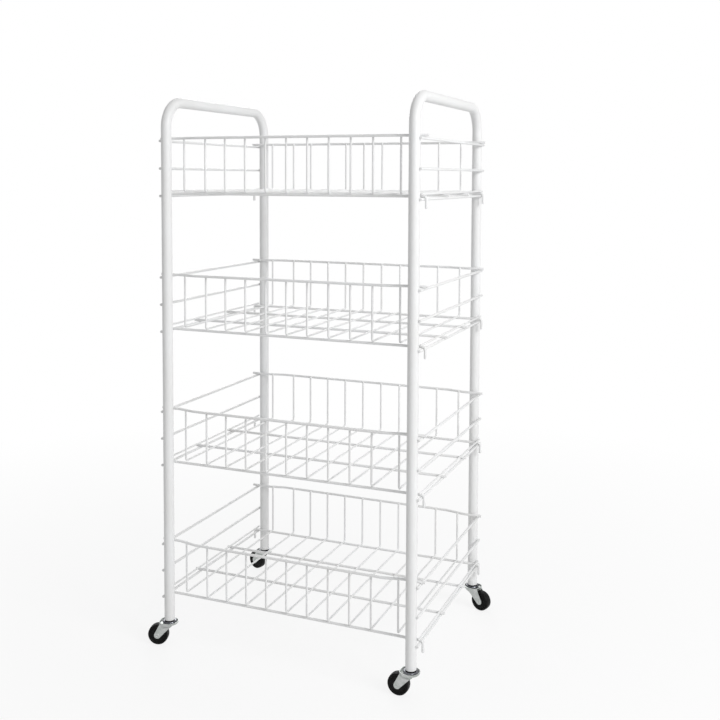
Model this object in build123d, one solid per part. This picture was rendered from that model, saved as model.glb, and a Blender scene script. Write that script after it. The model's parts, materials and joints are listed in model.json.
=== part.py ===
from build123d import *
import math
import os

# A rolling utility cart: two welded side frames, four wire trays hooked onto them and four swivel casters.
# Millimetres, +Z up. The origin is the middle of the footprint, on the floor. The front is -Y, the right is +X.

# Side frames: each is one tube bent into an upside-down U, with straight wires welded across its outer side.
tube_diameter = 16.0
tube_wall = 1.2
legs_across = 400.0  # left leg axis to right leg axis
legs_deep = 314.0  # front leg axis to back leg axis
handle_height = 846.0  # floor to the axis of the handle run
handle_bend = 40.0  # centre-line radius of the two bends beside the handle run
side_wire_past_leg = 3.0  # how far a side wire reaches past the leg axis

# Wires: heavy ones carry, thin ones fill the trays.
heavy_wire = 4.0
rib_wire = 3.0

# Trays, counted from the top one.
tray_names = ["top", "upper", "lower", "bottom"]
handle_above_rim = 56.0  # axis of the top tray's rim wires to the axis of the handle run
bottom_tray_height = 79.0  # floor to the axis of the bottom tray's floor cross wires
tray_depth = 84.0  # rim wire axis to floor cross wire axis
middle_side_wire_drop = 46.0  # rim wire axis to the middle side wire of the frame
rim_setback = 4.0  # leg axis plane to the straight stretch of a rim wire
leg_clearance = 1.0  # free space between a leg and a tray wire that passes it
jog_start_inset = 44.0  # leg axis to where a rim wire starts to jog inwards
jog_end_inset = 14.0  # leg axis to where it is straight again
wire_overhang = 5.0  # how far tray wires reach past the side wires that carry them
rib_spacing = 34.0
inner_rib_count = 9
end_rib_inset = 24.0  # leg axis to the last rib
rib_top_rise = 1.0  # end of a rib above the rim wire axis
wire_bend = 3.5  # centre-line radius where a rib or a hooked wire turns a square corner
inner_cross_wire_offset = 52.0  # middle of the tray to each inner cross wire
edge_rib_end_gap = 3.0  # leg axis plane back to the end of an edge rib
hook_drop = 17.0  # cross wire axis to the tip of its hook

# Casters: a nylon wheel in a pressed fork that swivels under a ball race on a riveted stem.
wheel_diameter = 32.0
wheel_tread_width = 10.4
wheel_rim_width = 12.4
wheel_hub_width = 13.4
wheel_hub_diameter = 10.0
wheel_web_diameter = 25.0
wheel_web_width = 10.0
wheel_face_diameter = 29.6
caster_trail = 18.0  # swivel axis to wheel axis
fork_gap = 14.0
fork_plate = 1.2
fork_foot_radius = 5.0
fork_back = 6.0  # swivel axis to the rear end of a fork leg's top edge
crown_diameter = 27.0
crown_thickness = 1.4
crown_height = 33.5  # floor to the underside of the crown
axle_diameter = 4.0
axle_head_diameter = 7.0
axle_head_thickness = 0.8
running_gap = 0.05  # per side, wheel on axle and crown on stem
stem_diameter = 8.0
stem_head_diameter = 12.0
stem_head_thickness = 2.0
stem_length_in_plug = 22.0
ball_ring_outer = 20.0
ball_ring_inner = 13.0
ball_ring_height = 2.1
cup_diameter = 22.6
cup_rim_diameter = 19.8
cup_thickness = 2.0
plug_flange = 1.0
plug_length = 25.0
caster_headings = {"front_left": 196.0, "front_right": 178.0, "back_left": 164.0, "back_right": 344.0}

# Worked out from the above.
leg_x = legs_across / 2
leg_y = legs_deep / 2
side_wire_x = leg_x + tube_diameter / 2 + heavy_wire / 2
top_rim_height = handle_height - handle_above_rim
tray_pitch = (top_rim_height - tray_depth - bottom_tray_height) / (len(tray_names) - 1)
wire_end_x = side_wire_x + heavy_wire / 2 + wire_overhang
rim_y = leg_y - rim_setback
passing_y = leg_y - tube_diameter / 2 - leg_clearance - heavy_wire / 2
wire_step = (heavy_wire + rib_wire) / 2  # between the axes of a heavy wire and a rib that touch
bend_chamfer = 2 - math.sqrt(2)  # of a square bend's radius: cut back to one flat that touches its arc
wheel_height = wheel_diameter / 2
ball_ring_height_start = crown_height + crown_thickness + running_gap
cup_height = ball_ring_height_start + ball_ring_height
plug_height = cup_height + cup_thickness
tube_foot = plug_height + plug_flange


def wire(diameter, *points):
    """A wire of eight-sided section along straight stretches, mitred where they meet."""
    path = Polyline(*points)
    start = Plane(origin=path @ 0, z_dir=path % 0)
    section = RegularPolygon(diameter / 2, 8, major_radius=False, rotation=22.5)
    return sweep(start * section, path=path, transition=Transition.RIGHT).solid()


def turned(*profile):
    """A solid turned about Z from (radius, height) points."""
    outline = make_face(Polyline(*profile, close=True))
    return revolve(Plane.XZ * outline, Axis.Z).solid()


def save(name, solids):
    """Writes one node: a solid, or a group of separate solids that are alike."""
    node = solids[0] if len(solids) == 1 else Compound(solids)
    node.label = name
    export_step(node, os.path.join("parts", name + ".step"))


def frame_tube(x):
    """One side's tube: two legs and the handle run, bent from one length."""
    line = FilletPolyline(
        (x, -leg_y, tube_foot),
        (x, -leg_y, handle_height),
        (x, leg_y, handle_height),
        (x, leg_y, tube_foot),
        radius=handle_bend,
    )
    start = Plane(origin=line @ 0, z_dir=line % 0)
    ring = Circle(tube_diameter / 2) - Circle(tube_diameter / 2 - tube_wall)
    return sweep(start * ring, path=line).solid()


def side_wires(x, rim_height):
    """The three straight wires across one side of the frame that belong to one tray."""
    end = leg_y + side_wire_past_leg
    rest = rim_height - heavy_wire
    middle = rim_height - middle_side_wire_drop
    lowest = rim_height - tray_depth - heavy_wire
    return [wire(heavy_wire, (x, -end, z), (x, end, z)) for z in (rest, middle, lowest)]


def rim_line(x):
    """Distance of a rim wire's axis from the middle of the tray, at x along it."""
    share = (abs(x) - leg_x + jog_start_inset) / (jog_start_inset - jog_end_inset)
    return rim_y + (passing_y - rim_y) * min(max(share, 0), 1)


def rim_wires(z):
    """The front and back rim wires, which jog inwards to pass behind the legs."""
    stations = [leg_x - jog_start_inset, leg_x - jog_end_inset, wire_end_x]
    right = [(x, rim_line(x)) for x in stations]
    left = [(-x, y) for x, y in reversed(right)]
    return [wire(heavy_wire, *[(x, side * y, z) for x, y in left + right]) for side in (-1, 1)]


def rib(x, rim_height):
    """A U-shaped rib: up the inside of both rim wires and across on top of the cross wires."""
    reach = rim_line(x) - wire_step
    floor = rim_height - tray_depth + wire_step
    cut = wire_bend * bend_chamfer
    back = [(x, reach - cut, floor), (x, reach, floor + cut), (x, reach, rim_height + rib_top_rise)]
    front = [(px, -py, pz) for px, py, pz in reversed(back)]
    return wire(rib_wire, *front, *back)


def ribs(rim_height):
    """All ribs of one tray, evenly spaced but for the two at the ends."""
    middle = (inner_rib_count - 1) / 2
    places = [(i - middle) * rib_spacing for i in range(inner_rib_count)]
    end = leg_x - end_rib_inset
    return [rib(x, rim_height) for x in [-end, *places, end]]


def hooked_wire(y, z):
    """A cross wire whose two ends wrap down around the side wires that carry it."""
    x = side_wire_x + heavy_wire
    cut = wire_bend * bend_chamfer
    right = [(x - cut, y, z), (x, y, z - cut), (x, y, z - hook_drop)]
    left = [(-px, py, pz) for px, py, pz in reversed(right)]
    return wire(heavy_wire, *left, *right)


def floor_wires(rim_height):
    """The wires under the ribs: two hooked ones, two straight ones and a thin one along each side."""
    z = rim_height - tray_depth
    hooked = [hooked_wire(y, z) for y in (-passing_y, passing_y)]
    straight = [
        wire(heavy_wire, (-wire_end_x, y, z), (wire_end_x, y, z))
        for y in (-inner_cross_wire_offset, inner_cross_wire_offset)
    ]
    end = leg_y - edge_rib_end_gap
    edges = [
        wire(rib_wire, (x, -end, z + wire_step), (x, end, z + wire_step))
        for x in (-side_wire_x, side_wire_x)
    ]
    return hooked + straight + edges


def tube_plug():
    """The socket pressed into a leg: a flange under the tube's end and a bored plug inside it."""
    flange_radius = tube_diameter / 2
    plug_radius = flange_radius - tube_wall
    bore = stem_diameter / 2
    top = tube_foot + plug_length
    return turned(
        (bore, plug_height),
        (flange_radius, plug_height),
        (flange_radius, tube_foot),
        (plug_radius, tube_foot),
        (plug_radius, top),
        (bore, top),
    )


def stem():
    """The pin that the fork swivels on, riveted over under the crown and pressed into the plug."""
    head_radius = stem_head_diameter / 2
    radius = stem_diameter / 2
    head_top = crown_height - running_gap
    return turned(
        (0, head_top - stem_head_thickness),
        (head_radius, head_top - stem_head_thickness),
        (head_radius, head_top),
        (radius, head_top),
        (radius, tube_foot + stem_length_in_plug),
        (0, tube_foot + stem_length_in_plug),
    )


def race_cup():
    """The upper race: a shallow cup fixed on the stem, above the balls."""
    return turned(
        (stem_diameter / 2, cup_height),
        (cup_diameter / 2, cup_height),
        (cup_rim_diameter / 2, plug_height),
        (stem_diameter / 2, plug_height),
    )


def ball_ring():
    """The ring of balls between cup and crown, as one closed ring."""
    return turned(
        (ball_ring_inner / 2, ball_ring_height_start),
        (ball_ring_outer / 2, ball_ring_height_start),
        (ball_ring_outer / 2, cup_height),
        (ball_ring_inner / 2, cup_height),
    )


def fork():
    """The pressed fork, pointing along +X: a bored round crown and two tapering legs."""
    hole = stem_diameter / 2 + running_gap
    crown = turned(
        (hole, crown_height),
        (crown_diameter / 2, crown_height),
        (crown_diameter / 2, crown_height + crown_thickness),
        (hole, crown_height + crown_thickness),
    )
    foot = Pos(caster_trail, wheel_height) * Circle(fork_foot_radius)
    top_edge = Line((-fork_back, crown_height), (crown_diameter / 2, crown_height))
    outline = make_hull(foot.edges() + top_edge.edges())
    middle = (fork_gap + fork_plate) / 2
    legs = [
        extrude(Plane.XZ.offset(side * middle) * outline, fork_plate / 2, both=True)
        for side in (-1, 1)
    ]
    axle_hole = Cylinder(axle_diameter / 2, crown_diameter)
    pressed = crown + legs - Pos(caster_trail, 0, wheel_height) * Rot(90, 0, 0) * axle_hole
    return pressed.solid()


def axle():
    """The rivet through the fork and the wheel, along Y, headed at both ends."""
    half = fork_gap / 2 + fork_plate
    radius = axle_diameter / 2
    head_radius = axle_head_diameter / 2
    end = half + axle_head_thickness
    rivet = turned(
        (0, -end),
        (head_radius, -end),
        (head_radius, -half),
        (radius, -half),
        (radius, half),
        (head_radius, half),
        (head_radius, end),
        (0, end),
    )
    return Pos(caster_trail, 0, wheel_height) * Rot(90, 0, 0) * rivet


def wheel():
    """The wheel in one piece, its axis along Y: hub, hollowed sides and rounded tread."""
    bore = axle_diameter / 2 + running_gap
    side = [
        (bore, wheel_hub_width / 2),
        (wheel_hub_diameter / 2, wheel_hub_width / 2),
        (wheel_web_diameter / 2, wheel_web_width / 2),
        (wheel_face_diameter / 2, wheel_rim_width / 2),
        (wheel_diameter / 2, wheel_tread_width / 2),
    ]
    other = [(radius, -height) for radius, height in reversed(side)]
    return Pos(caster_trail, 0, wheel_height) * Rot(90, 0, 0) * turned(*side, *other)


def save_caster(corner, heading):
    """Places one caster under its leg, turned to its heading, and writes its seven nodes."""
    left_or_right = -1 if corner.endswith("left") else 1
    front_or_back = -1 if corner.startswith("front") else 1
    place = Pos(left_or_right * leg_x, front_or_back * leg_y, 0) * Rot(0, 0, heading)
    pieces = {
        "tube_plug": tube_plug(),
        "caster_stem": stem(),
        "race_cup": race_cup(),
        "ball_race": ball_ring(),
        "fork": fork(),
        "wheel_axle": axle(),
        "wheel": wheel(),
    }
    for name, piece in pieces.items():
        save(corner + "_" + name, [place * piece])


os.makedirs("parts", exist_ok=True)
sides = {"left": -1, "right": 1}
for side_name, sign in sides.items():
    save(side_name + "_frame_tube", [frame_tube(sign * leg_x)])
for number, tray in enumerate(tray_names):
    rim_height = top_rim_height - number * tray_pitch
    for side_name, sign in sides.items():
        save(f"{side_name}_side_wires_{tray}", side_wires(sign * side_wire_x, rim_height))
    save(tray + "_tray_rim_wires", rim_wires(rim_height))
    save(tray + "_tray_ribs", ribs(rim_height))
    save(tray + "_tray_floor_wires", floor_wires(rim_height))
for corner, heading in caster_headings.items():
    save_caster(corner, heading)
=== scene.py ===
# %% [markdown]
# # A rolling utility cart, dressed on its measured frame
# The frame holds every tube, wire and caster piece at its real size. This script gives each of them the
# surface that a maker would ship: drawn round wire, bent tube, pressed zinc steel and moulded nylon. First
# the frame is loaded, and its box is kept, to set beside the dressed cart's box at the end.

# %% Load the frame
import json
import math

import bpy
import numpy as np
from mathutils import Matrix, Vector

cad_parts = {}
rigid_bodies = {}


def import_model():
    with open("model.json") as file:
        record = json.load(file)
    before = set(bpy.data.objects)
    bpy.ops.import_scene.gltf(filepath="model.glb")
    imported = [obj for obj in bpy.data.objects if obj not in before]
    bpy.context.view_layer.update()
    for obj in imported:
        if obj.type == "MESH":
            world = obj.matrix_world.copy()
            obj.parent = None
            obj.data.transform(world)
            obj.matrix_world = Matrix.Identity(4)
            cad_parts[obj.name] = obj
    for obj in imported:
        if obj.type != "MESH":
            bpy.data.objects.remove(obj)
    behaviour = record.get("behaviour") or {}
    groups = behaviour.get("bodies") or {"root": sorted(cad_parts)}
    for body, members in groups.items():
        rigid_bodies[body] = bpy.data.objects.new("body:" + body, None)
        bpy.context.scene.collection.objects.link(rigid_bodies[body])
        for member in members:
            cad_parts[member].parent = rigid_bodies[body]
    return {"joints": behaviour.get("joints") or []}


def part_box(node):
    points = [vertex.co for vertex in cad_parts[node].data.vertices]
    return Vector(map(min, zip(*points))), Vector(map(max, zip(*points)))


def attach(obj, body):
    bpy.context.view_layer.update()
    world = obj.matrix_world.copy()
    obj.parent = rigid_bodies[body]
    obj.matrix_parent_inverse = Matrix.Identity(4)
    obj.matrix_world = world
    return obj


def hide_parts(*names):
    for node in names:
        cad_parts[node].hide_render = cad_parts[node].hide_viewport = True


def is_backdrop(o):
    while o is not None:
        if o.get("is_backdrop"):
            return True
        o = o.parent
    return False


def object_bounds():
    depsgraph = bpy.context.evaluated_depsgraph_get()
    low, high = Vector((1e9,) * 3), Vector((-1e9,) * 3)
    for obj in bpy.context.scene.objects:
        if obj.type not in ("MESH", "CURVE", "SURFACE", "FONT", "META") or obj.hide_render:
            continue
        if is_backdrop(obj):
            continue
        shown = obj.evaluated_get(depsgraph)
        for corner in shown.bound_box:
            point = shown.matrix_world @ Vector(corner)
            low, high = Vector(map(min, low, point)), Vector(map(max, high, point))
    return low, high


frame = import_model()
cad_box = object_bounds()

# %% [markdown]
# ## Sizes
# Blender works in metres, so small sizes are written as so many mm. What the frame can tell is read from
# the boxes of its nodes: where the legs stand, how high each rim lies, how far the wires reach. Only what a
# box can't tell, such as the radius of a bend, is written here.

# %% Helpers for sizes
mm = 0.001
X, Y, Z = 0, 1, 2


def in_mm(*values):
    """Metres as millimetres with one decimal, to be printed."""
    return [round(value / mm, 1) for value in values]


def tenth(metres):
    """The value rounded to a tenth of a millimetre, which puts back what a faceted circle loses."""
    return round(metres * 10 / mm) * mm / 10


def low(node, axis):
    """The lowest coordinate of a node along X, Y or Z."""
    return tenth(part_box(node)[0][axis])


def high(node, axis):
    """The highest coordinate of a node along X, Y or Z."""
    return tenth(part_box(node)[1][axis])


# %% Sizes of the side frames
root = "cart_frame"
tube_radius = 8 * mm
tube_wall = 1.2 * mm
handle_bend = 40 * mm
leg_x = high("right_frame_tube", X) - tube_radius
leg_y = high("right_frame_tube", Y) - tube_radius
leg_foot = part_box("right_frame_tube")[0][Z]
handle_z = high("right_frame_tube", Z) - tube_radius
print("legs stand", in_mm(2 * leg_x, 2 * leg_y), "apart, the handle runs at", in_mm(handle_z))

# %% Sizes of the wires and trays
heavy_radius = 2 * mm
rib_radius = 1.5 * mm
wire_edge = 0.35 * mm
trays = ["top", "upper", "lower", "bottom"]
rim_z = {tray: high(tray + "_tray_rim_wires", Z) - heavy_radius for tray in trays}
cross_drop = rim_z["top"] - high("top_tray_floor_wires", Z) + 2 * rib_radius + heavy_radius
hook_drop = rim_z["top"] - cross_drop - low("top_tray_floor_wires", Z)
middle_drop = 46 * mm
side_wire_x = high("right_side_wires_top", X) - heavy_radius
side_wire_end = high("right_side_wires_top", Y)
wire_end_x = high("top_tray_rim_wires", X)
rim_y = high("top_tray_rim_wires", Y) - heavy_radius
edge_rib_end = high("top_tray_floor_wires", Y)
leg_gap = 1 * mm
passing_y = leg_y - tube_radius - heavy_radius - leg_gap
jog_start, jog_end = leg_x - 44 * mm, leg_x - 14 * mm
last_rib_x = high("top_tray_ribs", X) - rib_radius
rib_spacing = 34 * mm
rib_rise = 1 * mm
inner_cross_y = 52 * mm
wire_bend = 3.5 * mm
jog_bend = 30 * mm
wire_step = heavy_radius + rib_radius
print("rims lie at", in_mm(*rim_z.values()), "and the floors", in_mm(cross_drop), "below them")

# %% [markdown]
# ## Surfaces from arrays
# Nearly everything on the cart is round stock that was bent, or a disc that was turned or pressed. So two
# helpers are enough. One carries a circle along a path, as a bender feeds tube. The other turns a profile
# about an axis, as a lathe does. Both work out a whole grid of points at once, and one function joins the
# grid with faces. Curve objects with a bevel would be quicker to type, but a grid keeps every seam closed
# and lets the cut ends of a wire have their small rounded edge.


# %% A grid of points becomes a closed skin
def skin(grid, poles=None):
    """Faces over a grid of rings. grid[i, j] is point j of ring i, and each ring closes on itself.

    Square i, j joins points j and j + 1 of rings i and i + 1. With two poles, each end ring closes in a fan
    on its pole; with none, the last ring joins the first one.
    """
    rings, sides = grid.shape[:2]
    i, j = np.meshgrid(np.arange(rings - (poles is not None)), np.arange(sides), indexing="ij")
    ahead, beside = (i + 1) % rings, (j + 1) % sides
    quads = np.stack([i * sides + j, i * sides + beside, ahead * sides + beside, ahead * sides + j], -1)
    points, tris = grid.reshape(-1, 3), np.empty((0, 3), int)
    if poles is not None:
        here = np.arange(sides)
        beyond = (here + 1) % sides
        last = (rings - 1) * sides
        start, end = len(points), len(points) + 1
        tris = np.concatenate([
            np.stack([np.full(sides, start), beyond, here], -1),
            np.stack([np.full(sides, end), last + here, last + beyond], -1),
        ])
        points = np.concatenate([points, np.array(poles, float)])
    return points, quads.reshape(-1, 4), tris


# %% Shapes joined, and a shape repeated
def together(shapes):
    """One shape out of several: their points in a row, and their faces with the indices moved along."""
    starts = np.cumsum([0] + [len(points) for points, _, _ in shapes[:-1]])
    return (
        np.concatenate([points for points, _, _ in shapes]),
        np.concatenate([quads + start for start, (_, quads, _) in zip(starts, shapes)]),
        np.concatenate([tris + start for start, (_, _, tris) in zip(starts, shapes)]),
    )


def at(shape, *places):
    """Copies of a shape, each moved by one place, joined into one shape."""
    points, quads, tris = shape
    places = np.array(places, float)
    starts = np.arange(len(places))[:, None, None] * len(points)
    return (
        (points[None] + places[:, None]).reshape(-1, 3),
        (quads[None] + starts).reshape(-1, 4),
        (tris[None] + starts).reshape(-1, 3),
    )


# %% [markdown]
# ### Bent wire and tube
# A bender lays a straight length round a former, so the real stock is straight runs joined by round arcs,
# and it keeps its thickness all the way. The path is therefore built in the same way: the corners are
# written down, and each one is replaced by an arc. Three points to a corner and a subdivision would look
# alike from afar, but the thickness would then swell and shrink through each bend.

# %% A path with rounded corners
straight_on = 0.001


def rounded(corners, radius, step=math.radians(9)):
    """The corners with an arc at each inner one, as a bender makes them.

    An arc touches both runs at radius * tan(turn / 2) from the corner. Its centre lies on the line that
    halves the corner, and its points are centre + radius * (cos a * out + sin a * onward). A corner that
    turns by less than straight_on, in radians, stays a point.
    """
    corners = np.array(corners, float)
    pieces = [corners[:1]]
    for before, corner, after in zip(corners[:-2], corners[1:-1], corners[2:]):
        onward = (corner - before) / np.linalg.norm(corner - before)
        leaving = (after - corner) / np.linalg.norm(after - corner)
        turn = math.acos(np.clip(onward @ leaving, -1, 1))
        if turn < straight_on:
            pieces.append(corner[None])
            continue
        touch = corner - onward * radius * math.tan(turn / 2)
        inward = leaving - onward * (onward @ leaving)
        inward = inward / np.linalg.norm(inward)
        centre = touch + inward * radius
        angles = np.linspace(0, turn, max(3, math.ceil(turn / step) + 1))[:, None]
        pieces.append(centre + radius * (np.sin(angles) * onward - np.cos(angles) * inward))
    return np.concatenate(pieces + [corners[-1:]])


# %% A circle carried along a path
def carried(path, normal, rings, sides):
    """A circle carried along a path that lies in one plane, normal being that plane's direction.

    rings lists (station, slide, radius). A ring point is path[station] + slide * tangent
    + radius * (cos a * normal + sin a * side), where side is tangent x normal. The tangent halves the turn
    between the runs before and after the station.
    """
    path, normal = np.array(path, float), np.array(normal, float)
    runs = np.diff(path, axis=0)
    runs = runs / np.linalg.norm(runs, axis=1, keepdims=True)
    tangent = np.concatenate([runs[:1], runs[:-1] + runs[1:], runs[-1:]])
    tangent = tangent / np.linalg.norm(tangent, axis=1, keepdims=True)
    side = np.cross(tangent, normal)
    station, slide, radius = (np.array(column)[:, None, None] for column in zip(*rings))
    station = station[:, 0, 0].astype(int)
    angle = np.linspace(0, 2 * math.pi, sides, endpoint=False)[None, :, None]
    around = np.cos(angle) * normal + np.sin(angle) * side[station][:, None]
    return path[station][:, None] + slide * tangent[station][:, None] + radius * around


# %% Solid wire and hollow tube
def wire(path, normal, radius, sides=20, edge=wire_edge):
    """Solid round wire along a path, its cut ends flat with a small rounded edge."""
    last = len(path) - 1
    near_end = [(0, 0, radius - edge), (0, 0.3 * edge, radius - 0.3 * edge), (0, edge, radius)]
    far_end = [(last, -slide, size) for _, slide, size in reversed(near_end)]
    along = [(station, 0, radius) for station in range(1, last)]
    return skin(carried(path, normal, near_end + along + far_end, sides), poles=[path[0], path[-1]])


def pipe(path, normal, radius, wall, sides=64, edge=wire_edge):
    """A hollow tube: rings run out along the outer wall, over the end, and back along the bore."""
    last = len(path) - 1
    bore = radius - wall
    out = [(0, 0, radius - edge), (0, edge, radius)]
    out += [(station, 0, radius) for station in range(1, last)]
    out += [(last, -edge, radius), (last, 0, radius - edge)]
    back = [(last, 0, bore + edge), (last, -edge, bore)]
    back += [(station, 0, bore) for station in reversed(range(1, last))]
    back += [(0, edge, bore), (0, 0, bore + edge)]
    return skin(carried(path, normal, out + back, sides))


# %% [markdown]
# ### Turned and pressed pieces
# Wheels, rivets, cups and plugs are round about one axis. A lathe or a press gives them an outline and
# nothing more, so an outline is all that has to be written. The Screw modifier would do the same, but its
# seam has to be merged afterwards. Sharp outlines look false, because every real edge is broken a little,
# so a helper rounds them.

# %% A profile turned about an axis
def turned(profile, sides=72):
    """The profile turned about Z: point i, a is (radius i * cos a, radius i * sin a, height i).

    The profile runs from the bottom outwards and up. One that starts and ends on the axis is closed there
    by two poles, and any other closes on itself, round a bore.
    """
    profile = np.array(profile, float)
    angle = np.linspace(0, 2 * math.pi, sides, endpoint=False)
    on_axis = abs(profile[0, 0]) < 1e-9
    stations = profile[1:-1] if on_axis else profile
    radius, height = stations[:, :1], stations[:, 1:]
    grid = np.stack([radius * np.cos(angle), radius * np.sin(angle), height + 0 * angle], -1)
    poles = [(0, 0, profile[0, 1]), (0, 0, profile[-1, 1])] if on_axis else None
    return skin(grid, poles)


def softened(profile, radius):
    """A closed profile with every corner rounded, found by rounding it once round and past its start."""
    profile = np.array(profile, float)
    start = (profile[-1:] + profile[:1]) / 2
    return rounded(np.concatenate([start, profile, start]), radius, math.radians(22))[:-1]


# %% A shape laid on its side, and a shape stood in its place
def on_y(shape):
    """A shape turned a quarter so that its Z axis lies along Y, for wheels and axles."""
    points, quads, tris = shape
    return points @ np.array([[1, 0, 0], [0, 0, -1], [0, 1, 0]], float), quads, tris


def stood(shape, place, heading):
    """A shape turned by its heading about Z and then moved to its place."""
    points, quads, tris = shape
    c, s = math.cos(heading), math.sin(heading)
    return points @ np.array([[c, s, 0], [-s, c, 0], [0, 0, 1]]) + np.array(place), quads, tris


# %% [markdown]
# ### From numbers to an object
# Blender's mesh takes its points and faces in flat rows, which is far quicker than adding them one at a
# time. The same function gives the piece its finish, and tells the frame which body carries it and which
# solids it stands in for. Faces are shaded smooth, except across the edges that a maker would leave crisp,
# where two faces lean away from each other by more than 40 degrees.

# %% A shape becomes a piece of the scene
made = []
crisp_angle = math.radians(40)


def piece(name, shape, finish, body, stands_for=(), finishers=()):
    """Puts a shape into a mesh and says what it is: finish, body and the nodes it shows."""
    points, quads, tris = shape
    mesh = bpy.data.meshes.new(name)
    mesh.vertices.add(len(points))
    mesh.vertices.foreach_set("co", points.astype(np.float32).ravel())
    corners = np.concatenate([quads.ravel(), tris.ravel()]).astype(np.int32)
    mesh.loops.add(len(corners))
    mesh.loops.foreach_set("vertex_index", corners)
    starts = np.concatenate([
        np.arange(len(quads)) * 4,
        len(quads) * 4 + np.arange(len(tris)) * 3,
    ]).astype(np.int32)
    mesh.polygons.add(len(starts))
    mesh.polygons.foreach_set("loop_start", starts)
    mesh.update(calc_edges=True)
    mesh.validate()
    mesh.polygons.foreach_set("use_smooth", np.ones(len(mesh.polygons), bool))
    mesh.set_sharp_from_angle(angle=crisp_angle)
    mesh.materials.append(finish)
    thing = bpy.data.objects.new(name, mesh)
    bpy.context.scene.collection.objects.link(thing)
    for kind, settings in finishers:
        modifier = thing.modifiers.new(kind.lower(), kind)
        for setting, value in settings.items():
            setattr(modifier, setting, value)
    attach(thing, body)
    if stands_for:
        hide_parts(*stands_for)
    made.append((name, len(mesh.polygons)))
    return thing


# %% [markdown]
# ## Finishes
# Shader sums are easier to read as sums. A small class wraps a socket and overloads plus, minus and times,
# and each of them adds its Math node. Every other node comes from one method, which takes the node's type,
# its settings and what goes into its sockets. Painted pictures would need unwrapping and would show their
# tiling along a metre of tube, so every pattern here is noise in the object's own space, sized in
# millimetres.


# %% Sockets that can be added and multiplied
class Value:
    """An output socket that arithmetic works on, from either side."""

    def __init__(self, nodes, socket):
        self.nodes = nodes
        self.socket = socket

    def math(self, operation, first, second):
        return self.nodes.node("Math", {"operation": operation}, {0: first, 1: second})

    def __add__(self, other):
        return self.math("ADD", self, other)

    def __sub__(self, other):
        return self.math("SUBTRACT", self, other)

    def __rsub__(self, other):
        return self.math("SUBTRACT", other, self)

    def __mul__(self, other):
        return self.math("MULTIPLY", self, other)

    __radd__ = __add__
    __rmul__ = __mul__


# %% A node tree
class Nodes:
    """A node tree, of a material or of the world, with the few patterns that the finishes use."""

    def __init__(self, tree):
        self.tree = tree

    def node(self, kind, settings, inputs, output=0):
        """Adds a node: its settings first, then a value or a link for each socket named."""
        added = self.tree.nodes.new("ShaderNode" + kind)
        for setting, value in settings.items():
            setattr(added, setting, value)
        for socket, value in inputs.items():
            self.feed(added.inputs[socket], value)
        return Value(self, added.outputs[output])

    def feed(self, socket, value):
        """Links a Value to a socket, or sets the socket to a plain number or colour."""
        if isinstance(value, Value):
            self.tree.links.new(value.socket, socket)
        else:
            socket.default_value = value

    def spread(self, value, start, end, out_start=0.0, out_end=1.0):
        """The value carried from one range to another and held within it."""
        return self.node("MapRange", {}, {0: value, 1: start, 2: end, 3: out_start, 4: out_end})

    def mixed(self, share, first, second):
        """A colour between two, by a share from 0 to 1."""
        return self.node("Mix", {"data_type": "RGBA"}, {0: share, 6: first, 7: second}, 2)

    def blend(self, share, first, second):
        """A shader between two, by a share from 0 to 1."""
        return self.node("MixShader", {}, {0: share, 1: first, 2: second})


# %% A material
class Finish(Nodes):
    """A Principled material. Constants are set on its sockets, and varying values are fed to them."""

    def __init__(self, name, **constants):
        self.material = bpy.data.materials.new(name)
        self.material.use_nodes = True
        super().__init__(self.material.node_tree)
        self.shader = self.tree.nodes["Principled BSDF"]
        self.place = self.node("TexCoord", {}, {}, "Object")
        names = {"roughness": "Roughness", "metallic": "Metallic", "sheen": "Specular IOR Level"}
        for constant, value in constants.items():
            self.shader.inputs[names[constant]].default_value = value

    def show(self, **values):
        """Feeds varying values to the shader: colour, roughness and normal."""
        names = {"colour": "Base Color", "roughness": "Roughness", "normal": "Normal"}
        for name, value in values.items():
            self.feed(self.shader.inputs[names[name]], value)
        return self.material

    def noise(self, size, detail=2.0):
        """Noise whose blotches are about one size across, from 0 to 1."""
        return self.node("TexNoise", {}, {"Vector": self.place, "Scale": 1 / size, "Detail": detail})

    def bump(self, height, depth, **under):
        """Raises the surface by height times depth, over another bump if one is given."""
        return self.node("Bump", {}, {"Height": height, "Distance": depth, **under})


# %% [markdown]
# ### White powder coat
# The steel is sprayed with dry powder and baked, so the coat flows out a little before it sets. It keeps a
# soft pebbled skin, called orange peel, under its gloss, and over a metre of tube its white drifts
# slightly. A clear coat layer would look too wet: the gloss of powder is in the pigment's own resin. Nor is
# the white ever 1.0, since no paint sends back all the light, and a brighter value would wash its shading
# out.


# %% White powder coat
def powder_coat():
    """Orange peel about 1 mm across, and a slow drift of shade and gloss along the stock."""
    finish = Finish("white_powder_coat", sheen=0.4)
    drift = finish.spread(finish.noise(90 * mm, 3.0), 0.3, 0.7)
    gloss = finish.spread(finish.noise(25 * mm), 0.3, 0.7, 0.32, 0.42)
    peel = finish.bump(finish.noise(1.2 * mm, 1.5), 0.006 * mm)
    cool, warm = (0.84, 0.845, 0.85, 1), (0.80, 0.80, 0.795, 1)
    return finish.show(colour=finish.mixed(drift, warm, cool), roughness=gloss, normal=peel)


# %% [markdown]
# ### Zinc, bright and dark
# The fork is pressed from zinc-plated strip: a satin grey with a green cast, clouded where the bath ran
# off, and lightly scuffed. The race cup and the balls are plated darker and carry a film of grease, and
# their dark tint is partly painted shade as well: it stands in for the shadow inside the bearing and for
# the dark reflections that the white surround can't give them. Both are full metals, so their colour is
# the tint of what they mirror, and the gloss does most of the work. A grey paint with a strong highlight
# would be simpler, but it wouldn't pick up the paper and the black wheel beside it. One function serves
# for both, because the two differ only in tint and polish.


# %% Zinc plate
long_scratch, fine_scratch = 3.8 * mm, 0.38 * mm


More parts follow.
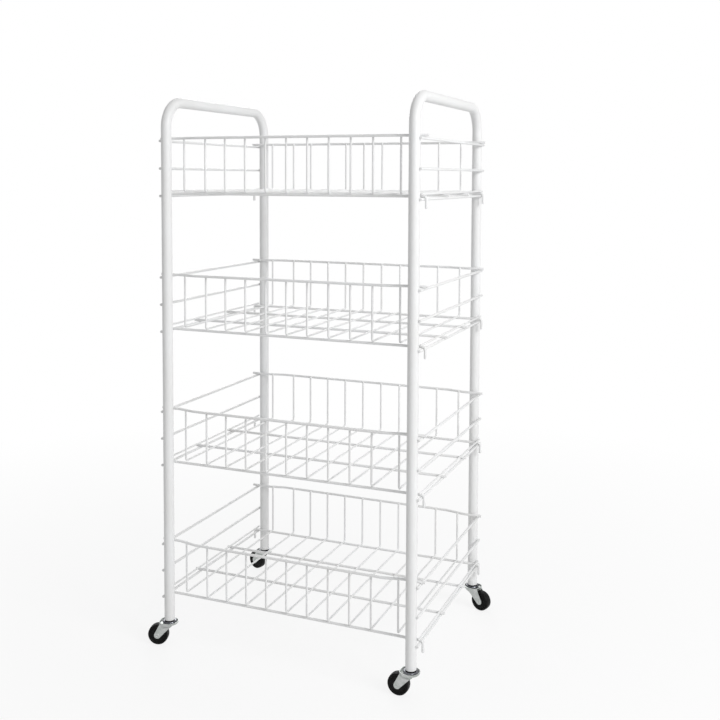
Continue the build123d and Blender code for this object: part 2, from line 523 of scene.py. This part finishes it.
def zinc(name, dark, pale, smooth, rough):
    """Clouds a few millimetres wide shift the shade, and fine drawn scratches shift the gloss."""
    finish = Finish(name, metallic=1.0)
    cloud = finish.noise(7 * mm, 4.0)
    fine = finish.noise(1.6 * mm, 2.0)
    stretch_to = (1 / long_scratch, 1 / long_scratch, 1 / fine_scratch)
    stretched = finish.node("Mapping", {}, {"Vector": finish.place, "Scale": stretch_to})
    scratches = finish.node("TexNoise", {}, {"Vector": stretched, "Scale": 1.0, "Detail": 3.0})
    shade = finish.spread(cloud * 0.7 + fine * 0.3, 0.35, 0.65)
    gloss = finish.spread(scratches * 0.5 + cloud * 0.5, 0.3, 0.7, smooth, rough)
    relief = finish.bump(scratches, 0.01 * mm, Normal=finish.bump(cloud, 0.03 * mm))
    return finish.show(colour=finish.mixed(shade, dark, pale), roughness=gloss, normal=relief)


# %% [markdown]
# ### Moulded nylon
# The wheels are black nylon. They leave the mould with a slight sheen, and rolling dulls them and fills
# their skin with pale dust. The plug in the tube's end is the same moulding. The sheen is kept low, since
# black nylon this rough mirrors far less than polished plastic. A plain black would do from afar, but the
# round shoulders of a wheel could then hardly be made out.


# %% Moulded nylon
def moulded(name, dark, pale, smooth, rough):
    """Dust clouds lift the shade a little, and a fine grain and flow marks bend the highlight."""
    finish = Finish(name, sheen=0.1)
    dust = finish.spread(finish.noise(4 * mm, 5.0), 0.45, 0.75)
    gloss = finish.spread(finish.noise(2.5 * mm, 3.0), 0.3, 0.7, smooth, rough)
    grain = finish.bump(finish.noise(0.35 * mm), 0.012 * mm)
    relief = finish.bump(finish.noise(6 * mm), 0.04 * mm, Normal=grain)
    return finish.show(colour=finish.mixed(dust, dark, pale), roughness=gloss, normal=relief)


# %% The four finishes
white = powder_coat()
bright_zinc = zinc("bright_zinc", (0.385, 0.42, 0.395, 1), (0.565, 0.57, 0.57, 1), 0.34, 0.50)
# race cup and balls: partly a darker plate with grease, partly painted shade and painted dark reflection
dark_zinc = zinc("dark_zinc", (0.045, 0.047, 0.055, 1), (0.18, 0.185, 0.2, 1), 0.12, 0.22)
nylon = moulded("black_nylon", (0.003, 0.003, 0.003, 1), (0.012, 0.012, 0.0115, 1), 0.34, 0.48)
print("finishes:", [finish.name for finish in (white, bright_zinc, dark_zinc, nylon)])

# %% [markdown]
# ## Weld nuggets
# Wires are resistance-welded: the current melts a little steel where two pieces touch, and pressure sinks
# them into each other. The coat then rounds the joint into a small fillet. Joining the meshes with a
# Boolean would give that crease exactly, at the price of a heavy and fragile mesh. A flattened bead, sunk
# between the two pieces, looks the same at any distance that matters and costs a few dozen faces.


# %% A weld nugget
def nugget(across, along, deep, sides=8):
    """An ellipsoid with half axes across, along and deep: rings at three slopes, closed by two poles."""
    slope = np.radians([-50, 0, 50])[:, None]
    angle = np.linspace(0, 2 * math.pi, sides, endpoint=False)
    grid = np.stack([
        across * np.cos(slope) * np.cos(angle),
        along * np.cos(slope) * np.sin(angle),
        deep * np.sin(slope) + 0 * angle,
    ], -1)
    return skin(grid, poles=[(0, 0, -deep), (0, 0, deep)])


tube_bead = nugget(1.0 * mm, 2.6 * mm, 2.2 * mm)
rim_bead = nugget(1.6 * mm, 0.9 * mm, 1.6 * mm)
floor_bead = nugget(1.7 * mm, 1.7 * mm, 0.9 * mm)
print("a nugget has", len(tube_bead[1]) + len(tube_bead[2]), "faces")

# %% [markdown]
# ## The side frames
# Each side of the cart is one steel tube, bent twice into an upside-down U: its two ends are the legs and
# its top is the handle that the cart is pushed by. The tube is drawn hollow, with its wall, since its open
# ends are where the casters go in. Three straight wires for each tray are welded across the outside, one
# just under the rim, one half way down and one just under the floor. They brace the two legs and carry the
# tray, so they're copies of one wire at heights worked out from the rim. An Array modifier would repeat the
# wire too, but it wouldn't know where each rim lies.


# %% Tubes and side wires
sides_of_cart = {"left": -1, "right": 1}
fine_step = math.radians(3.75)
for side, sign in sides_of_cart.items():
    x = sign * leg_x
    bends = [(x, -leg_y, leg_foot), (x, -leg_y, handle_z), (x, leg_y, handle_z), (x, leg_y, leg_foot)]
    tube = pipe(rounded(bends, handle_bend, fine_step), (1, 0, 0), tube_radius, tube_wall)
    piece(side + "_tube", tube, white, root, [side + "_frame_tube"])
    for tray in trays:
        drops = (2 * heavy_radius, middle_drop, cross_drop + 2 * heavy_radius)
        heights = [rim_z[tray] - drop for drop in drops]
        straight = wire([(0, -side_wire_end, 0), (0, 0, 0), (0, side_wire_end, 0)], (1, 0, 0), heavy_radius)
        wires = at(straight, *[(sign * side_wire_x, 0, z) for z in heights])
        node = f"{side}_side_wires_{tray}"
        piece(node + "_round", wires, white, root, [node])
        spots = [(sign * (leg_x + tube_radius), y, z) for y in (-leg_y, leg_y) for z in heights]
        piece(f"{side}_side_welds_{tray}", at(tube_bead, *spots), white, root)
print("side frames:", len(made), "pieces")

# %% [markdown]
# ## The trays
# A tray is a mat of wire. Eleven U-shaped ribs are welded inside two rim wires and on top of four cross
# wires. The rims jog inwards near their ends to pass behind the legs. The front and back cross wires turn
# down at their ends and hook over the side frames' lowest wires, so a tray lifts out without tools.
#
# All of it could be one mesh made by a wireframe modifier on a box, but the wires of a real mat don't meet
# at their middles: they lie on each other, a radius above or below. So each wire has a path of its own, and
# only the heights say which one lies on top.


# %% The rims and ribs of a tray
def rim_line(x):
    """How far a rim wire lies from the middle at x: its straight depth, then down the jog to its end."""
    return float(np.interp(abs(x), [jog_start, jog_end], [rim_y, passing_y]))


def rim_wires(z):
    """Front and back rim, each bent gently four times."""
    right = [(x, rim_line(x)) for x in (jog_start, jog_end, wire_end_x)]
    line = [(-x, y) for x, y in reversed(right)] + right
    return together([
        wire(rounded([(x, side * y, z) for x, y in line], jog_bend), (0, 0, 1), heavy_radius)
        for side in (-1, 1)
    ])


def rib(x, z):
    """A rib: up the inside of both rims and across on top of the cross wires."""
    reach = rim_line(x) - wire_step
    floor, top = z - cross_drop + wire_step, z + rib_rise
    corners = [(x, -reach, top), (x, -reach, floor), (x, reach, floor), (x, reach, top)]
    return wire(rounded(corners, wire_bend), (1, 0, 0), rib_radius, sides=16)


# %% The wires of a tray's floor
def hooked_wire(y, z):
    """A cross wire bent down at both ends into hooks."""
    x, tip = side_wire_x + 2 * heavy_radius, z - hook_drop
    corners = [(-x, y, tip), (-x, y, z), (x, y, z), (x, y, tip)]
    return wire(rounded(corners, wire_bend), (0, 1, 0), heavy_radius)


def floor_wires(z):
    """Two hooked wires, two straight ones, and a thin wire along each side."""
    level = z - cross_drop
    straight = wire([(-wire_end_x, 0, 0), (0, 0, 0), (wire_end_x, 0, 0)], (0, 0, 1), heavy_radius)
    edge = wire([(0, -edge_rib_end, 0), (0, 0, 0), (0, edge_rib_end, 0)], (0, 0, 1), rib_radius, sides=16)
    return together([
        hooked_wire(-passing_y, level),
        hooked_wire(passing_y, level),
        at(straight, (0, -inner_cross_y, level), (0, inner_cross_y, level)),
        at(edge, (-side_wire_x, 0, level + wire_step), (side_wire_x, 0, level + wire_step)),
    ])


# %% [markdown]
# ### Where a tray is welded
# Each rib is welded to both rims and to the cross wires under it. The end ribs are narrower, because the
# rims have jogged inwards there, and they miss the hooked wires. The thin wire along each side lies on all
# four cross wires. Every crossing gets a bead, from the same places that the wires are drawn at. Beads put
# there by hand would drift off their wires as soon as one size changed.


# %% The beads of a tray
inner_ribs = [place * rib_spacing for place in range(-4, 5)]
rib_places = [-last_rib_x, *inner_ribs, last_rib_x]


def tray_welds(z):
    """Upright beads between ribs and rims, and flat ones on the cross wires."""
    rims = [(x, side * (rim_line(x) - heavy_radius), z) for x in rib_places for side in (-1, 1)]
    crossings = [(x, y) for x in rib_places for y in (-inner_cross_y, inner_cross_y)]
    crossings += [(x, y) for x in inner_ribs for y in (-passing_y, passing_y)]
    crossings += [
        (x, y)
        for x in (-side_wire_x, side_wire_x)
        for y in (-passing_y, -inner_cross_y, inner_cross_y, passing_y)
    ]
    on_floor = [(x, y, z - cross_drop + heavy_radius) for x, y in crossings]
    return together([at(rim_bead, *rims), at(floor_bead, *on_floor)])


# %% Four trays
for tray in trays:
    z = rim_z[tray]
    ribs = together([rib(x, z) for x in rib_places])
    piece(tray + "_rims", rim_wires(z), white, root, [tray + "_tray_rim_wires"])
    piece(tray + "_ribs", ribs, white, root, [tray + "_tray_ribs"])
    piece(tray + "_floor", floor_wires(z), white, root, [tray + "_tray_floor_wires"])
    piece(tray + "_welds", tray_welds(z), white, root)
print("with trays:", len(made), "pieces")

# %% [markdown]
# ## The casters
# A caster is a small machine. A stem stands fixed in the leg; the pressed fork hangs on it by its crown,
# between the riveted head below and a ring of balls above, and swivels; the wheel turns on a rivet through
# the fork. The wheel's middle lies behind the stem by the trail, which is what makes a caster follow a
# push.
#
# Each piece is made once round the swivel axis, with the wheel's side towards X, and then stood under its
# leg at its own heading. Four copies of one finished mesh would be the shorter way, but then nothing could
# ride on the body of its own caster, and every caster here has to swivel and roll by itself.

# %% Sizes of a caster
swivels = {j["child"]: j for j in frame["joints"] if j["parent"] == root}
spins = {j["child"]: j for j in frame["joints"] if j["parent"] != root}
corners_of_cart = [name.removesuffix("_swivel") for name in swivels]
wheel_radius = high("front_right_wheel", Z) / 2
trail = math.dist(swivels["front_right_swivel"]["pos_m"][:2], spins["front_right_wheel"]["pos_m"][:2])
# the frame sets each swivel joint at the underside of its crown
crown_low, crown_high = swivels["front_right_swivel"]["pos_m"][Z], high("front_right_fork", Z)
ball_low, cup_low = crown_high, low("front_right_race_cup", Z)
cup_high = high("front_right_race_cup", Z)
stem_radius, stem_head = 4 * mm, 6 * mm
stem_top, plug_top = leg_foot + 22 * mm, leg_foot + 25 * mm
axle_radius, axle_head, head_thick = 2 * mm, 3.5 * mm, 0.8 * mm
print("casters:", corners_of_cart, "wheel radius and trail", in_mm(wheel_radius, trail))

# %% [markdown]
# ### The fork
# The fork is one sheet of steel, cut out, pressed and plated. Its crown is a dish that holds the balls,
# with a lip turned up round them that reaches out over the wheel. A leg comes down from each side of the
# lip, steps inwards beside the wheel, and tapers to a round foot. The axle's hole in the foot isn't cut
# here, because the rivet fills it.
#
# Sheet has one thickness everywhere. So its surfaces are drawn at mid-thickness, where a formula for them
# stays simple, and Solidify adds half the thickness to either side. Bevel then breaks the cut edges.
# Modelling both faces by hand would take twice the formulas, and the wall would come out uneven wherever
# the sheet leans.

# %% Sizes of the fork
plate = 1.2 * mm
crown_radius = 13.5 * mm
# the lip: its mid-thickness, its foot, its rise, and its reach and squareness over the wheel
lip_middle = crown_radius - plate / 2
lip_foot = crown_radius - plate
lip_rise = 3.1 * mm
lip_reach = 1.16
lip_square = 3
fork_gap = 14 * mm
foot_radius = 5 * mm
# from the stem to the edges of a leg, high up: away from the wheel, and on the wheel's side
reach_away, reach_wheel = 6 * mm, 14.4 * mm
step_low, step_high = 27 * mm, 35.4 * mm
print("fork:", in_mm(2 * crown_radius), "across its crown,", in_mm(fork_gap), "between its legs")


# %% The crown's outline
def stretch(angle):
    """How much further than a circle the crown's edge lies at an angle from the wheel's side.

    Away from the wheel it is 1. Over the wheel the edge is a squarish oval, lip_reach times as long as a
    circle, and n, lip_square, makes it squarer: ((cos a / lip_reach)^n + |sin a|^n)^(-1 / n).
    """
    along, beside = np.maximum(np.cos(angle), 0) / lip_reach, np.abs(np.sin(angle))
    oval = (along**lip_square + beside**lip_square) ** (-1 / lip_square)
    return np.where(np.cos(angle) > 0, oval, 1.0)


def half_width(u, radius):
    """Half the width of that same outline at a distance u from the stem, towards the wheel.

    Away from the wheel it is sqrt(radius^2 - u^2), and over it radius * (1 - s^n)^(1 / n), where s is the
    share u / (radius * lip_reach) and n is lip_square.
    """
    circle = np.sqrt(np.maximum(radius**2 - np.minimum(u, 0) ** 2, 0))
    share = np.clip(np.maximum(u, 0) / (radius * lip_reach), 0, 1)
    return circle * (1 - share**lip_square) ** (1 / lip_square)


# %% The crown
def crown():
    """The crown at mid-thickness: flat round the stem, a ball track, and an upturned lip.

    Point i, a lies at radius i * (1 + share i * (stretch(a) - 1)). The share rises from 0 at the ball track
    to 1 near the foot of the lip, so that the crown reaches out over the wheel and the track stays round.
    """
    middle, dip = (crown_low + crown_high) / 2, 0.25 * mm
    round_until, oval_from = 8.5 * mm, 12 * mm
    profile = [
        (stem_radius + 0.4 * mm, middle),
        (6.2 * mm, middle),
        (7.6 * mm, middle - dip),
        (8.8 * mm, middle - dip),
        (10.6 * mm, middle + 0.05 * mm),
        (lip_foot, middle + 0.4 * mm),
        (lip_middle, middle + lip_rise),
    ]
    line = rounded(profile, 0.8 * mm, math.radians(12))
    angle = np.linspace(0, 2 * math.pi, 96, endpoint=False)
    radius, height = line[:, :1], line[:, 1:]
    share = np.clip((radius - round_until) / (oval_from - round_until), 0, 1)
    radius = radius * (1 + share * (stretch(angle) - 1))
    grid = np.stack([radius * np.cos(angle), radius * np.sin(angle), height + 0 * angle], -1)
    points, quads, tris = skin(grid)
    # a sheet is open, so the faces that join its last ring to its first are left off
    return points, quads[: -len(angle)], tris


# %% A leg of the fork
def fork_leg(side):
    """One leg at mid-thickness, as rows from its rounded foot up to the crown's lip.

    At each height the leg runs between two edges. Low down they are the foot's circle; above the point where
    a straight edge touches that circle they are the straight lines up to the crown. Between step_low and
    step_high the sheet steps outwards until it lies against the lip, by 3 s^2 - 2 s^3 of the whole step,
    where s is the share of that height.
    """
    columns, foot_rows, upper_rows = 19, 14, 30
    centre = np.array([trail, wheel_radius])
    # rows by equal angles round the foot, and then evenly up to the lip
    rows = np.concatenate([
        wheel_radius - foot_radius * np.cos(np.linspace(0.12, 1.5, foot_rows)),
        np.linspace(wheel_radius + 0.6 * mm, step_high, upper_rows),
    ])
    edges = []
    for end, sign in (((-reach_away, crown_low), 1), ((reach_wheel, crown_low), -1)):
        away = np.array(end) - centre
        lean = math.acos(foot_radius / np.linalg.norm(away)) * sign + math.atan2(away[1], away[0])
        touch = centre + foot_radius * np.array([math.cos(lean), math.sin(lean)])
        circle = trail - sign * np.sqrt(np.maximum(foot_radius**2 - (rows - wheel_radius) ** 2, 0))
        straight = touch[0] + (rows - touch[1]) * (end[0] - touch[0]) / (end[1] - touch[1])
        edges.append(np.where(rows < touch[1], circle, straight))
    across = np.linspace(0, 1, columns)
    u = edges[0][:, None] * (1 - across) + edges[1][:, None] * across
    z = rows[:, None] + 0 * across
    flat, overlap = (fork_gap + plate) / 2, 0.15 * mm
    share = np.clip((z - step_low) / (step_high - step_low), 0, 1)
    step = np.maximum(half_width(u, lip_foot + overlap) - flat, 0)
    v = side * (flat + step * share**2 * (3 - 2 * share))
    grid = np.stack([u, v, z], -1)
    i, j = np.meshgrid(np.arange(len(rows) - 1), np.arange(columns - 1), indexing="ij")
    first, above = i * columns + j, (i + 1) * columns + j
    quads = np.stack([first, first + 1, above + 1, above], -1)
    # the second leg's corners are read backwards, so that both legs face outwards
    quads = quads.reshape(-1, 4)[:, ::side]
    return grid.reshape(-1, 3), quads, np.empty((0, 3), int)


# %% [markdown]
# ### The wheel
# The wheel is moulded in one piece: a tread with rounded shoulders, a thinner web, and a hub that stands
# proud so that only the hub rubs on the fork. The two halves of the mould leave a faint raised line round
# the middle. A cylinder with a bevel would pass from far away. The outline costs ten points for one half,
# and the other half is its mirror image.


# %% The wheel
def wheel():
    """Half the outline, from the bore over hub, web and tread to the mould line, and its mirror image."""
    hub, web, tread = 6.7 * mm, 4.6 * mm, 6.2 * mm
    half = [
        (axle_radius + 0.05 * mm, hub),
        (4.2 * mm, hub),
        (5.0 * mm, web + 0.5 * mm),
        (11.6 * mm, web),
        (12.8 * mm, tread),
        (14.5 * mm, tread),
        (wheel_radius - 0.35 * mm, tread - 1.3 * mm),
        (wheel_radius - 0.1 * mm, 2.4 * mm),
        (wheel_radius - 0.06 * mm, 0.3 * mm),
        (wheel_radius, 0.12 * mm),
    ]
    profile = [(r, -h) for r, h in half] + [(r, h) for r, h in reversed(half)]
    return on_y(turned(softened(profile, 0.1 * mm), sides=128))


# %% [markdown]
# ### What the wheel and the fork turn on
# The axle is a tubular rivet: a tube whose ends are rolled over the fork's legs, so that each head shows
# the open bore. The stem is a plain pin. Its lower end is riveted into a dome under the crown, and the rest
# goes up through the balls and the plug into the leg. Both are outlines turned about an axis. Screws would
# be easier to take from a library of parts, but such a caster is riveted for good, and its looks say so.


# %% The axle and the stem
def axle():
    """A tubular rivet: a plain shank, low rolled heads, and the open bore of the tube in each."""
    half, bore, bore_depth = fork_gap / 2 + plate, 0.9 * mm, 1.4 * mm
    head = [
        (0, half - bore_depth),
        (bore, half - bore_depth),
        (1.05 * mm, half + 0.3 * mm),
        (1.4 * mm, half + 0.7 * mm),
        (1.9 * mm, half + head_thick),
        (2.6 * mm, half + 0.65 * mm),
        (3.1 * mm, half + 0.3 * mm),
        (axle_head, half + 0.15 * mm),
        (axle_head, half),
        (axle_radius, half),
    ]
    profile = [(r, -h) for r, h in head] + [(r, h) for r, h in reversed(head)]
    return on_y(turned(profile, sides=48))


def stem():
    """The fixed pin, its lower end riveted over into a domed head."""
    head_top = crown_low - 0.05 * mm
    profile = [
        (0, head_top - 2.0 * mm),
        (3.0 * mm, head_top - 1.9 * mm),
        (5.0 * mm, head_top - 1.4 * mm),
        (stem_head, head_top - 0.4 * mm),
        (stem_head, head_top),
        (stem_radius, head_top),
        (stem_radius, stem_top - 1 * mm),
        (3.2 * mm, stem_top),
        (0, stem_top),
    ]
    return turned(profile, sides=48)


# %% [markdown]
# ### The bearing and the plug
# The fork turns on a ring of loose balls. They run between the dish of the crown and a pressed cup above
# it, whose rim bends down round them. A dark ring would be lighter to draw, but the gaps between balls are
# what tell a bearing from a washer. Forty faces to a ball are enough, since only slivers of them show. The
# plug is a nylon moulding that is pushed into the leg and grips the stem. Its flange, a black line under
# the white tube, is all of it that can be seen.


# %% The race cup, the balls and the plug
ball_ring = 8.2 * mm


def race_cup():
    """The upper race: a pressed cup with a rolled skirt, open below over the balls."""
    profile = [
        (stem_radius, cup_low + 0.6 * mm),
        (6.6 * mm, cup_low + 0.6 * mm),
        (ball_ring, cup_low + 1.0 * mm),
        (9.6 * mm, cup_low + 0.6 * mm),
        (10.2 * mm, cup_low),
        (11.1 * mm, cup_low),
        (11.2 * mm, cup_low + 0.2 * mm),
        (10.6 * mm, cup_low + 1.4 * mm),
        (10.1 * mm, cup_low + 1.8 * mm),
        (9.4 * mm, cup_high),
        (stem_radius, cup_high),
    ]
    return turned(softened(profile, 0.15 * mm), sides=96)


def balls(count=22):
    """The ring of loose balls, each a small sphere of 40 faces."""
    radius = (cup_low - ball_low) / 2
    ball = nugget(radius, radius, radius, sides=10)
    angle = np.linspace(0, 2 * math.pi, count, endpoint=False)
    middle = (ball_low + cup_low) / 2
    return at(ball, *np.stack([ball_ring * np.cos(angle), ball_ring * np.sin(angle), middle + 0 * angle], -1))


def plug():
    """The moulded plug: a thin flange under the tube, a tapered end inside it."""
    flange, body = tube_radius - 0.1 * mm, tube_radius - tube_wall
    profile = [
        (stem_radius, cup_high),
        (flange, cup_high),
        (flange, leg_foot),
        (body, leg_foot),
        (body, plug_top - 3 * mm),
        (body - 0.8 * mm, plug_top),
        (stem_radius, plug_top),
    ]
    return turned(softened(profile, 0.1 * mm), sides=64)


# %% [markdown]
# ### Four casters
# The frame's joints say where each stem stands and where each wheel's middle lies, and the line between the
# two is the caster's heading. The casters point in different ways, as they do when a cart has been rolled
# into its place. The order of the two modifiers matters: the sheet needs its thickness before its edges can
# be broken.

# %% Four casters under the legs
press = [
    ("SOLIDIFY", {"thickness": plate, "offset": 0.0}),
    ("BEVEL", {"width": 0.2 * mm, "segments": 2, "limit_method": "ANGLE", "angle_limit": math.radians(50)}),
]
wheel_middle = (trail, 0, wheel_radius)
for corner in corners_of_cart:
    place = (*swivels[corner + "_swivel"]["pos_m"][:2], 0)
    towards = np.array(spins[corner + "_wheel"]["pos_m"][:2]) - np.array(place[:2])
    heading = math.atan2(towards[1], towards[0])
    swivel, roller = corner + "_swivel", corner + "_wheel"
    fork = together([crown(), fork_leg(-1), fork_leg(1)])
    for name, shape, finish, body, slot, node, finishers in (
        ("fork", fork, bright_zinc, swivel, "bright_zinc", "fork", press),
        ("rivet", at(axle(), wheel_middle), bright_zinc, swivel, "bright_zinc", "wheel_axle", ()),
        ("roller", at(wheel(), wheel_middle), nylon, roller, "black_nylon", "wheel", ()),
        ("stem", stem(), bright_zinc, root, "bright_zinc", "caster_stem", ()),
        ("cup", race_cup(), dark_zinc, root, "dark_zinc", "race_cup", ()),
        ("balls", balls(), dark_zinc, root, "dark_zinc", "ball_race", ()),
        ("plug", plug(), nylon, root, "black_nylon", "tube_plug", ()),
    ):
        shape = stood(shape, place, heading)
        piece(f"{corner}_{name}", shape, finish, body, [f"{corner}_{node}"], finishers=finishers)
print("with casters:", len(made), "pieces,", sum(count for _, count in made), "faces")

# %% [markdown]
# ## Floor and surround
# A shop shows a white cart on white paper. The sheet is plain where it scatters light, so the cart keeps
# its soft shadow on it, and it turns to even white further out, where nothing stands. The surround is pure
# white to the camera and to mirroring metal, and dim to everything else: a surround that lit the cart at
# full strength would come from all sides at once and leave no shading. A curved backdrop would do as well,
# but a level sheet can be looked at from every side.


# %% The paper
even_from, even_until, even_start = 0.3, 1.4, 0.83


def paper():
    """White paper: plain to scattered light, and blended towards even white where it is looked at.

    The share of even white rises from even_start, at even_from from the cart's middle, to 1 at even_until.
    """
    finish = Finish("floor_paper", roughness=0.9, sheen=0.0)
    fibres = finish.noise(3 * mm)
    finish.show(colour=finish.mixed(fibres, (0.88, 0.88, 0.88, 1), (0.9, 0.9, 0.9, 1)))
    even = finish.node("Emission", {}, {"Color": (1, 1, 1, 1), "Strength": 1.0})
    far = finish.node("VectorMath", {"operation": "LENGTH"}, {0: finish.place}, "Value")
    seen = finish.node("LightPath", {}, {}, "Is Camera Ray")
    mirrored = finish.node("LightPath", {}, {}, "Is Glossy Ray")
    share = finish.spread(far, even_from, even_until, even_start, 1.0) * (seen + mirrored)
    both = finish.blend(share, Value(finish, finish.shader.outputs[0]), even)
    finish.feed(finish.tree.nodes["Material Output"].inputs["Surface"], both)
    return finish.material


# %% The floor
floor_half = 6.0
floor_corners = [(x * floor_half, y * floor_half, 0) for x, y in ((-1, -1), (1, -1), (1, 1), (-1, 1))]
sheet = bpy.data.meshes.new("floor")
sheet.from_pydata(floor_corners, [], [(0, 1, 2, 3)])
sheet.materials.append(paper())
floor_sheet = bpy.data.objects.new("floor", sheet)
bpy.context.scene.collection.objects.link(floor_sheet)
floor_sheet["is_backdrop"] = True
print("floor:", 2 * floor_half, "m square")

# %% The surround
dim_strength = 0.42
world = bpy.data.worlds.new("surround")
bpy.context.scene.world = world
world.use_nodes = True
surround = Nodes(world.node_tree)
seen = surround.node("LightPath", {}, {}, "Is Camera Ray")
mirrored = surround.node("LightPath", {}, {}, "Is Glossy Ray")
scattered = 1 - seen - mirrored
dim = surround.node("Background", {}, {"Color": (1, 1, 1, 1), "Strength": dim_strength})
bright = surround.node("Background", {}, {"Color": (1, 1, 1, 1), "Strength": 1.0})
both = surround.blend(scattered, bright, dim)
surround.feed(world.node_tree.nodes["World Output"].inputs["Surface"], both)
print("surround:", dim_strength, "to scattered light and 1.0 to the camera and to reflections")

# %% [markdown]
# ## Lights
# White powder coat on white shows only by its shading, so the light has to come from one side. A broad soft
# box at the right is the key, and leaves the left edge of every tube grey. A small one beside the camera
# fills the front, and a third behind the cart keeps its back from going dull when it is seen from there.
# Their powers are held down until the brightest stripe on a tube stays just under white. A single sun would
# be simpler, but its hard shadows would cross the trays like a second set of wires.


# %% Lights
def lamp(name, place, target, size, power):
    """A square soft box at a place, facing a target."""
    data = bpy.data.lights.new(name, "AREA")
    data.size = size
    data.energy = power
    thing = bpy.data.objects.new(name, data)
    bpy.context.scene.collection.objects.link(thing)
    x, y, z = np.array(place) - np.array(target)
    thing.location = place
    thing.rotation_euler = (math.atan2(math.hypot(x, y), z), 0, math.atan2(x, -y))
    return thing


cart_middle = (0, 0, 0.4)
lamp("key", (2.3, -0.8, 1.7), cart_middle, size=1.1, power=36)
lamp("fill", (1.6, -1.9, 1.25), cart_middle, size=0.7, power=7)
lamp("back", (-1.2, 2.1, 1.4), cart_middle, size=1.1, power=14)

# %% [markdown]
# ## Camera
# The camera stands a little above the trays, at the cart's right front corner, and looks almost level. Yet
# the cart is seen from above as well, because the lens is shifted down. Upright furniture is taken in this
# way, because tilting the camera down would make the legs run together towards the floor. The sensor is a
# tall one, as when a camera is turned on its side, and its height is what the lens and the shift count by.

# %% Camera
tilt_down, roll, turn_left = math.radians(3.33), math.radians(-0.235), math.radians(22.49)
camera = bpy.data.cameras.new("camera")
camera.sensor_fit = "VERTICAL"
camera.sensor_height, camera.sensor_width = 36, 26
camera.lens = 48.56
camera.shift_y = -0.1747
camera.clip_start = 0.05
eye = bpy.data.objects.new("camera", camera)
eye.location = (0.6404, -1.4153, 0.7313)
eye.rotation_euler = (math.radians(90) - tilt_down, roll, turn_left)
bpy.context.scene.collection.objects.link(eye)
bpy.context.scene.camera = eye
bpy.context.scene.view_settings.view_transform = "Standard"
print("camera at", [round(value, 2) for value in eye.location], "m, lens", round(camera.lens, 1), "mm")

# %% [markdown]
# ## The two boxes
# The dressed cart has to fill the frame's box and no more. Both boxes are printed.

# %% Print the boxes
dressed_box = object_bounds()
for name, box in (("frame", cad_box), ("dressed", dressed_box)):
    print(name, "box from", in_mm(*box[0]), "to", in_mm(*box[1]))
